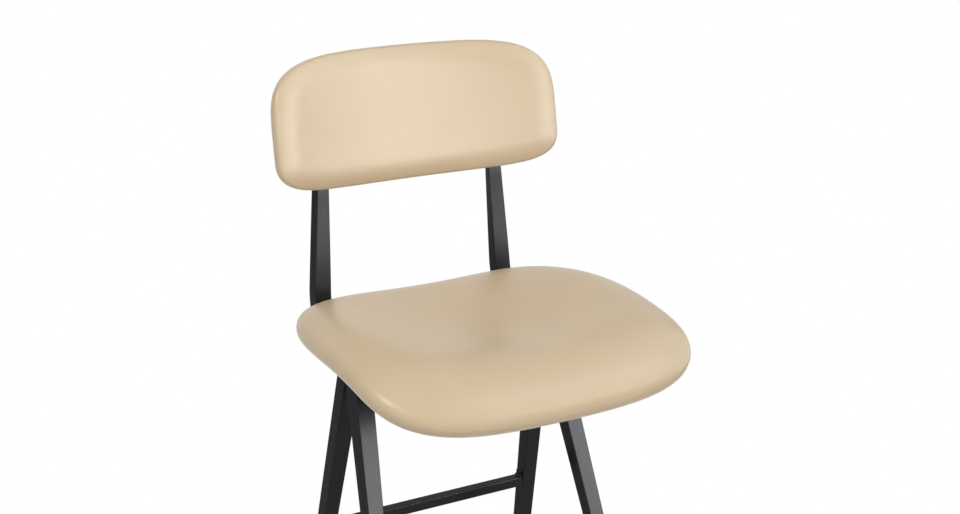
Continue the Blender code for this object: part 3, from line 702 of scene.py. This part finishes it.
def section_place(path, index):
    """Where one section of a post goes: square to the path, turned, and scaled to its height."""
    point, turn = path[index]
    before = path[max(index - 1, 0)][0]
    after = path[min(index + 1, len(path) - 1)][0]
    heading = ((after - point).normalized() + (point - before).normalized()).normalized()
    side = Vector((math.cos(turn), math.sin(turn), 0))
    side = (side - heading * side.dot(heading)).normalized()
    turned = Matrix((side, heading.cross(side), heading)).transposed().to_4x4()
    return Matrix.Translation(point) @ turned @ Matrix.Scale(post_scale(point.z), 4)


def drawn_on(bm, face):
    """Extrude one face and return the new one. The old one goes, so that a tube stays hollow."""
    grown = bmesh.ops.extrude_face_region(bm, geom=[face])["geom"]
    bmesh.ops.delete(bm, geom=[face], context="FACES_ONLY")
    return next(item for item in grown if isinstance(item, bmesh.types.BMFace))


def sunk_end(bm, end, wall, depth):
    """Hollow one end of a tube, where a plug or a glide goes in."""
    inward = end.normal * -depth
    bmesh.ops.inset_region(bm, faces=[end], thickness=wall, use_even_offset=True)
    bmesh.ops.translate(bm, vec=inward, verts=drawn_on(bm, end).verts)


def rounded_section(bm):
    """A post's section, laid flat, and a copy of it that can be drawn on."""
    size = Matrix.Diagonal((*POST_SECTION, 1, 1))
    bmesh.ops.create_grid(bm, x_segments=1, y_segments=1, size=0.5, matrix=size)
    softened(bm, list(bm.verts), *POST_FOLD, "VERTICES")
    start = list(bm.faces)[0]
    return bmesh.ops.duplicate(bm, geom=[start])["face_map"][start]


def folded_post(path):
    """A rounded section drawn out along the path, hollow at both ends."""
    places = [section_place(path, index) for index in range(len(path))]
    bm = bmesh.new()
    end = rounded_section(bm)
    bmesh.ops.transform(bm, matrix=places[0], verts=bm.verts)
    for before, after in zip(places, places[1:]):
        end = drawn_on(bm, end)
        bmesh.ops.transform(bm, matrix=after @ before.inverted(), verts=end.verts)
    bmesh.ops.remove_doubles(bm, verts=bm.verts, dist=MERGE_REACH)
    bmesh.ops.recalc_face_normals(bm, faces=bm.faces)
    for end in [face for face in bm.faces if len(face.verts) > 4]:
        sunk_end(bm, end, POST_WALL * POST_TIP_SHARE, TUBE_END_DEPTH)
    return bm


def flat_faced(made):
    """Shade a folded tube's faces flat, with the light turning only on its folds."""
    made.modifiers.new("flat_faces", "WEIGHTED_NORMAL").keep_sharp = True


right_path = post_path()
left_path = [(Vector((-point.x, point.y, point.z)), -turn) for point, turn in right_path]
for side, path in (("left", left_path), ("right", right_path)):
    tube = folded_post(path)
    flat_faced(piece(f"post_tube_{side}", tube, black_powder_coat, [f"back_post_{side}"]))

# Legs. Four tapered tubes, folded from sheet like the posts and coated with them. Each pair meets under its
# seat arm and is welded to it, and a moulded nylon glide is pushed into each foot.
LEG_FOLD = (0.0016, 6)
LEG_WALL = 0.0014
LEG_PROUD = 0.0005
LONG_EDGE = 0.1
END_TOLERANCE = 0.0001
GLIDE_ROUND = (0.0024, 4)
GLIDE_EDGE = (0.0012, 3)
GLIDE_HEIGHT = 0.006
NYLON_BLACK = (0.016, 0.016, 0.017, 1)
NYLON_GREY = (0.030, 0.030, 0.031, 1)
SPARK_SCALE = 1500.0
SCUFF_SCALE = 90.0
NYLON_ROUGHNESS = (0.48, 0.14)
NYLON_BUMP = (0.00005, 0.4)

black_nylon, place = surface("black_nylon")
spark = noise(place, SPARK_SCALE, 2.0)
scuff = noise(place, SCUFF_SCALE, 4.0)
coated(place, {
    "Base Color": (0.5 * spark + 0.5 * scuff).tint(NYLON_BLACK, NYLON_GREY),
    "Roughness": NYLON_ROUGHNESS[0] + NYLON_ROUGHNESS[1] * scuff,
    "Normal": bumped(place, spark, *NYLON_BUMP),
})


def end_box(node, axis, high):
    """The rectangle that a CAD tube's end fills, as its lowest and highest corners."""
    points = [vert.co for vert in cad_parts[node].data.vertices]
    limit = (max if high else min)(point[axis] for point in points)
    ends = [point for point in points if abs(point[axis] - limit) < END_TOLERANCE]
    return [Vector(pick(point[way] for point in ends) for way in range(3)) for pick in (min, max)]


def between(low, high, shares):
    """A point in a box, its place along each side given from -1 to 1."""
    return Vector(start + (stop - start) * (share + 1) / 2 for start, stop, share in zip(low, high, shares))


def edges_along(bm, axis, least):
    """The edges that run at least so far along an axis."""
    return [edge for edge in bm.edges if abs(edge.verts[0].co[axis] - edge.verts[1].co[axis]) > least]


for end in ("front", "rear"):
    for side in ("left", "right"):
        node = f"{end}_leg_{side}"
        top = end_box(node, 2, True)
        foot = end_box(node, 2, False)
        for low, high in (top, foot):
            low.xy -= Vector((LEG_PROUD, LEG_PROUD))
            high.xy += Vector((LEG_PROUD, LEG_PROUD))
        bm = bmesh.new()
        for vert in bmesh.ops.create_cube(bm, size=2)["verts"]:
            vert.co = between(*(top if vert.co.z > 0 else foot), vert.co)
        softened(bm, edges_along(bm, 2, LONG_EDGE), *LEG_FOLD)
        sole_end = min(bm.faces, key=lambda face: face.calc_center_median().z)
        sunk_end(bm, sole_end, LEG_WALL, TUBE_END_DEPTH)
        flat_faced(piece(f"{end}_leg_tube_{side}", bm, black_powder_coat, [node]))

        glide = f"{end}_foot_glide_{side}"
        low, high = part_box(glide)
        high.z = low.z + GLIDE_HEIGHT
        bm = bmesh.new()
        for vert in bmesh.ops.create_cube(bm, size=2)["verts"]:
            vert.co = between(low, high, vert.co)
        softened(bm, edges_along(bm, 2, GLIDE_HEIGHT / 2), *GLIDE_ROUND)
        rims = [edge for edge in bm.edges if any(len(face.verts) > 4 for face in edge.link_faces)]
        softened(bm, rims, *GLIDE_EDGE)
        piece(f"{end}_glide_{side}", bm, black_nylon, [glide])

# Plugs. A moulded nylon plug closes the open upper end of each post: a foot pushed into the tube, and a cap
# with a softened edge. The plugs in the seat arms and the spacers under the seat are of the same nylon.
PLUG_STEPS = (  # level from the tube's end, share of the tube's section
    (-0.020, 0.80), (0.0, 0.80), (0.0001, 0.98), (0.0012, 0.98), (0.0018, 0.95), (0.0022, 0.88),
)

for side, path in (("left", left_path), ("right", right_path)):
    bm = bmesh.new()
    face = rounded_section(bm)
    depth, share = PLUG_STEPS[0]
    bmesh.ops.scale(bm, vec=(share, share, 1), verts=bm.verts)
    bmesh.ops.translate(bm, vec=(0, 0, depth), verts=bm.verts)
    for (low, share), (high, next_share) in zip(PLUG_STEPS, PLUG_STEPS[1:]):
        face = drawn_on(bm, face)
        bmesh.ops.scale(bm, vec=(next_share / share, next_share / share, 1), verts=face.verts)
        bmesh.ops.translate(bm, vec=(0, 0, high - low), verts=face.verts)
    bmesh.ops.transform(bm, matrix=section_place(path, len(path) - 1), verts=bm.verts)
    piece(f"post_plug_{side}", bm, black_nylon, [f"post_top_plug_{side}"])

dress([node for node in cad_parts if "plug" in node or "spacer" in node], black_nylon)

# Cross members. Square tubes of the same coated steel: two rails carry the seat between the arms, a thin
# stretcher ties the rear legs and a stouter footrest the front ones. Their ends are welded to the legs.
BAR_FOLD = (0.0013, 5)
BAR_PROUD = 0.0008
STRETCHER_WELD = {(0, 0, 1): 0.0062, (0, 0, -1): 0.0022, (0, 1, 0): 0.0016, (0, -1, 0): 0.0016}
FOOTREST_WELD = {(0, 0, 1): 0.0040, (0, 0, -1): 0.0030, (0, 1, 0): 0.0010, (0, -1, 0): 0.0010}
WELD_BITE = 0.0005
WELD_RINGS = 4
WELD_CROWDING = 1.5
WELD_BLEND = 0.004


def weld_flare(bm, end_point, outward, reaches):
    """Draw the end of a tube out into a weld: rings near the end swell on a quarter round."""
    deepest = max(reaches.values())
    for ring in range(1, WELD_RINGS + 1):
        cut = end_point - outward * deepest * (ring / WELD_RINGS) ** WELD_CROWDING
        everything = bm.verts[:] + bm.edges[:] + bm.faces[:]
        bmesh.ops.bisect_plane(bm, geom=everything, plane_co=cut, plane_no=outward)
    for vert in bm.verts:
        away = (end_point - vert.co).dot(outward)
        for way, reach in reaches.items():
            lean = (vert.co - end_point).dot(Vector(way))
            if away < reach and lean > 0:
                swell = reach - math.sqrt(max(reach**2 - (reach - max(away, 0)) ** 2, 0))
                vert.co += Vector(way) * swell * min(lean / WELD_BLEND, 1)


for node, weld in (("rear_stretcher", STRETCHER_WELD), ("front_footrest", FOOTREST_WELD)):
    low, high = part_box(node)
    points = [vert.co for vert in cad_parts[node].data.vertices]
    half_top = max(point.x for point in points if point.z > high.z - END_TOLERANCE) + WELD_BITE
    half_bottom = max(point.x for point in points if point.z < low.z + END_TOLERANCE) + WELD_BITE
    middle = (low + high) / 2
    low.yz -= Vector((BAR_PROUD, BAR_PROUD))
    high.yz += Vector((BAR_PROUD, BAR_PROUD))
    bm = bmesh.new()
    for vert in bmesh.ops.create_cube(bm, size=2)["verts"]:
        half = half_top if vert.co.z > 0 else half_bottom
        level = between(low, high, vert.co)
        vert.co = (half * vert.co.x, level.y, level.z)
    softened(bm, edges_along(bm, 0, LONG_EDGE), *BAR_FOLD)
    for hand in (-1, 1):
        end_point = Vector((hand * (half_top + half_bottom) / 2, middle.y, middle.z))
        outward = Vector((hand * (high.z - low.z), 0, half_bottom - half_top)).normalized()
        weld_flare(bm, end_point, outward, weld)
    flat_faced(piece(f"{node}_tube", bm, black_powder_coat, [node]))
dress(["front_seat_rail", "rear_seat_rail"], black_powder_coat)

# Screws. Button-head machine screws with a hexagon socket, black zinc: four hold the seat to the rails through
# nylon spacers, four hold the back to the posts. Threaded bushes in the plywood take them.
HEAD_RADIUS = 0.0058
HEAD_HEIGHT = 0.0032
HEX_RADIUS = 0.0022
HEX_SINK = 0.0018
SHANK_RADIUS = 0.0029
HEAD_STEPS = 36
HEAD_PROFILE = (  # shares of the head's radius and height, from its edge to its crown
    (1.0, 0.35), (0.96, 0.52), (0.86, 0.72), (0.72, 0.88), (0.56, 0.97), (0.46, 1.0),
)
HEX_SIDES = 6
BACK_SCREW_RISES = (-0.012, 0.048)
ZINC_DARK = (0.045, 0.045, 0.050, 1)
ZINC_LIGHT = (0.085, 0.085, 0.092, 1)
BLOOM_SCALE = 260.0
ZINC_METAL = 0.9
ZINC_ROUGHNESS = (0.30, 0.16)
ZINC_BUMP = (0.00003, 0.3)

black_zinc, place = surface("black_zinc")
bloom = noise(place, BLOOM_SCALE, 3.0)
coated(place, {
    "Base Color": bloom.tint(ZINC_DARK, ZINC_LIGHT),
    "Metallic": ZINC_METAL,
    "Roughness": ZINC_ROUGHNESS[0] + ZINC_ROUGHNESS[1] * bloom,
    "Normal": bumped(place, bloom, *ZINC_BUMP),
})


def draw_face(bm, face, radius, level, sides=0):
    """Draw a round face on to a new radius and level, or on to a hexagon."""
    face = drawn_on(bm, face)
    for vert in face.verts:
        turn = math.atan2(vert.co.y, vert.co.x)
        reach = radius
        if sides:
            slice_angle = 2 * math.pi / sides
            reach = radius / math.cos((turn + slice_angle / 2) % slice_angle - slice_angle / 2)
        vert.co = (reach * math.cos(turn), reach * math.sin(turn), level)
    return face


def button_screw(bm, foot, up, length):
    """One screw, its shank pointing up from the face that its head rests on."""
    stand = Matrix.Translation(foot) @ up.to_track_quat("Z", "Y").to_matrix().to_4x4()
    blank = bmesh.new()
    bmesh.ops.create_circle(blank, cap_ends=True, segments=HEAD_STEPS, radius=HEAD_RADIUS)
    start = list(blank.faces)[0]
    face = bmesh.ops.duplicate(blank, geom=[start])["face_map"][start]
    for wide, high in HEAD_PROFILE:
        face = draw_face(blank, face, wide * HEAD_RADIUS, -high * HEAD_HEIGHT)
    for level in (-HEAD_HEIGHT, HEX_SINK - HEAD_HEIGHT):
        face = draw_face(blank, face, HEX_RADIUS, level, HEX_SIDES)
    shank = bmesh.ops.create_cone(
        blank, cap_ends=True, segments=HEAD_STEPS // 2, radius1=SHANK_RADIUS, radius2=SHANK_RADIUS, depth=length
    )["verts"]
    bmesh.ops.translate(blank, vec=(0, 0, length / 2), verts=shank)
    bmesh.ops.transform(blank, matrix=stand, verts=blank.verts)
    made = bpy.data.meshes.new("screw_blank")
    blank.to_mesh(made)
    blank.free()
    bm.from_mesh(made)
    bpy.data.meshes.remove(made)


bm = bmesh.new()
screws = sorted(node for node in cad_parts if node.startswith("seat_screw"))
for node in screws:
    low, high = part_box(node)
    foot = Vector(((low.x + high.x) / 2, (low.y + high.y) / 2, low.z + HEAD_HEIGHT))
    button_screw(bm, foot, Vector((0, 0, 1)), high.z - foot.z)
piece("seat_screws", bm, black_zinc, screws)

bm = bmesh.new()
(low_reach, low_rise), (high_reach, high_rise) = POST_REACHES
for hand in (-1, 1):
    for rise in BACK_SCREW_RISES:
        share = (rise - low_rise) / (high_rise - low_rise)
        plan = Vector((hand * (low_reach + (high_reach - low_reach) * share), rise))
        point, normal = on_back(plan, 0)
        depth = POST_SECTION[1] * post_scale(point.z)
        foot = on_back(plan, PANEL_LEVELS[1] - POST_GAP - depth)[0]
        button_screw(bm, foot, normal, (point - foot).length)
screws = sorted(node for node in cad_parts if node.startswith("back_screw"))
piece("back_screws", bm, black_zinc, screws)
dress([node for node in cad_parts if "insert" in node], black_zinc)

# Floor, light and camera. A white studio: soft lamps in front, at the left and behind light the colours, and
# white cards all round show only as gloss. Most cards in front spare the seat, which would glare white when
# seen from behind. The floor is white paper that keeps a soft shadow near the stool.
FLOOR_RADIUS = 14.0
FLOOR_SIDES = 96
SHADOW_RADIUS = (0.50, 0.85)  # where the shadow starts to fade, where it ends
SHADOW_SHARE = 0.45
PAPER_SCALE = 60.0
PAPER_GREY = (0.84, 0.84, 0.84, 1)
PAPER_PALE = (0.88, 0.88, 0.88, 1)
WHITE = (1, 1, 1, 1)
WORLD_FILL = 0.24
CAMERA_PLACE = (-1.0636, -1.7426, 1.3280)
CAMERA_AZIMUTH = math.radians(-31.6)
CAMERA_ELEVATION = math.radians(15.7)
CAMERA_LENS = 64.84
CAMERA_SENSOR = 36.0
LIGHT_AIM = Vector((0, 0, 0.72))
# azimuth from the front towards +X, elevation, distance, width, height, radiance, and what it lights:
# colour (matt), the gloss of all pieces (gloss), or that of all but the seat cushion (upright)
SOFTBOXES = {
    "key_softbox": (-30, 48, 2.4, 0.9, 0.9, 12.0, "matt"),
    "left_reflector": (-75, 10, 2.2, 2.2, 2.2, 0.55, "matt"),
    "front_softbox": (25, 14, 2.4, 0.9, 0.45, 7.8, "matt"),
    "rear_reflector": (175, 6, 2.4, 2.0, 1.6, 1.2, "matt"),
    "left_card": (-35, 5, 2.4, 1.4, 1.0, 2.5, "upright"),
    "middle_card": (12, 5, 2.4, 1.0, 0.6, 9.8, "upright"),
    "low_card": (29, 4, 2.4, 0.9, 0.6, 10.0, "upright"),
    "side_card": (46, 3, 2.4, 0.9, 0.6, 8.8, "upright"),
    "floor_card": (36, -10, 2.4, 1.3, 0.4, 5.0, "upright"),
    "top_card": (14, 44, 2.4, 1.0, 1.0, 3.6, "upright"),
    "strip_card": (38, 20, 2.4, 0.9, 0.4, 17.0, "upright"),
    "seat_card": (40, 31, 2.4, 0.7, 0.5, 7.0, "gloss"),
    "right_strip_card": (58, 46, 2.4, 0.9, 0.9, 5.5, "gloss"),
    "right_card": (80, 15, 2.2, 2.0, 2.0, 2.1, "gloss"),
    "upper_card": (95, 50, 2.4, 0.9, 0.9, 1.2, "gloss"),
    "rear_card": (145, 25, 2.4, 1.8, 1.2, 0.28, "gloss"),
    "corner_card": (-78, 40, 2.4, 0.8, 0.8, 20.0, "gloss"),
}

bm = bmesh.new()
bmesh.ops.create_circle(bm, cap_ends=True, segments=FLOOR_SIDES, radius=FLOOR_RADIUS)
mesh = bpy.data.meshes.new("studio_floor")
bm.to_mesh(mesh)
bm.free()
studio_floor = bpy.data.objects.new("studio_floor", mesh)
bpy.context.scene.collection.objects.link(studio_floor)


def ray_kinds(tree):
    """Whether a ray comes straight from the camera, from gloss or through something clear."""
    rays = tree.nodes.new("ShaderNodeLightPath")
    return [Socket(tree, rays.outputs[f"Is {kind} Ray"]) for kind in ("Camera", "Glossy", "Transmission")]


floor_paper, place = surface("floor_paper")
away = place.node("ShaderNodeVectorMath", {"operation": "LENGTH"}, {0: place}, "Value")
far_off = place.node(
    "ShaderNodeMapRange",
    {"interpolation_type": "SMOOTHSTEP"},
    {"Value": away, "From Min": SHADOW_RADIUS[0], "From Max": SHADOW_RADIUS[1]},
)
fibres = noise(place, PAPER_SCALE, 4.0)
paper = place.node("ShaderNodeBsdfDiffuse", {}, {"Color": fibres.tint(PAPER_GREY, PAPER_PALE)})
white = place.node("ShaderNodeEmission", {}, {"Color": WHITE, "Strength": 1.0})
camera_ray, glossy_ray, clear_ray = ray_kinds(place.tree)
whiteness = (1 - SHADOW_SHARE + SHADOW_SHARE * far_off) * (camera_ray + clear_ray) + glossy_ray
shown = place.node("ShaderNodeMixShader", {}, {0: whiteness, 1: paper, 2: white})
place.node("ShaderNodeOutputMaterial", {}, {"Surface": shown})
mesh.materials.append(floor_paper)

world = bpy.data.worlds.new("white_studio")
bpy.context.scene.world = world
world.use_nodes = True
world.node_tree.nodes.clear()
camera_ray, glossy_ray, clear_ray = ray_kinds(world.node_tree)
seen = camera_ray + glossy_ray + clear_ray
fill = seen.node("ShaderNodeBackground", {}, {"Color": WHITE, "Strength": WORLD_FILL})
white = seen.node("ShaderNodeBackground", {}, {"Color": WHITE, "Strength": 1.0})
shown = seen.node("ShaderNodeMixShader", {}, {0: seen, 1: fill, 2: white})
seen.node("ShaderNodeOutputWorld", {}, {"Surface": shown})

seat_left_out = bpy.data.collections.new("seat_left_out")
seat_left_out.objects.link(seat_cushion)
seat_left_out.collection_objects[0].light_linking.link_state = "EXCLUDE"

for name, (azimuth, elevation, distance, width, height, radiance, lights) in SOFTBOXES.items():
    turn, lift = math.radians(azimuth), math.radians(elevation)
    flat = math.cos(lift)
    towards = Vector((math.sin(turn) * flat, -math.cos(turn) * flat, math.sin(lift)))
    lamp = bpy.data.lights.new(name, "AREA")
    lamp.shape = "RECTANGLE"
    lamp.size = width
    lamp.size_y = height
    lamp.energy = radiance * math.pi * width * height
    softbox = bpy.data.objects.new(name, lamp)
    softbox.location = LIGHT_AIM + towards * distance
    softbox.rotation_euler = towards.to_track_quat("Z", "Y").to_euler()
    softbox.visible_camera = False
    softbox.visible_diffuse = lights == "matt"
    softbox.visible_glossy = lights != "matt"
    if lights == "upright":
        softbox.light_linking.receiver_collection = seat_left_out
    bpy.context.scene.collection.objects.link(softbox)

right = Vector((math.cos(CAMERA_AZIMUTH), math.sin(CAMERA_AZIMUTH), 0))
back = Vector((
    math.sin(CAMERA_AZIMUTH) * math.cos(CAMERA_ELEVATION),
    -math.cos(CAMERA_AZIMUTH) * math.cos(CAMERA_ELEVATION),
    math.sin(CAMERA_ELEVATION),
))
lens = bpy.data.cameras.new("photograph_view")
lens.lens = CAMERA_LENS
lens.sensor_width = CAMERA_SENSOR
camera = bpy.data.objects.new("photograph_view", lens)
camera.matrix_world = Matrix((right, back.cross(right), back)).transposed().to_4x4()
camera.location = CAMERA_PLACE
bpy.context.scene.collection.objects.link(camera)
bpy.context.scene.camera = camera
bpy.context.scene.view_settings.view_transform = "Standard"
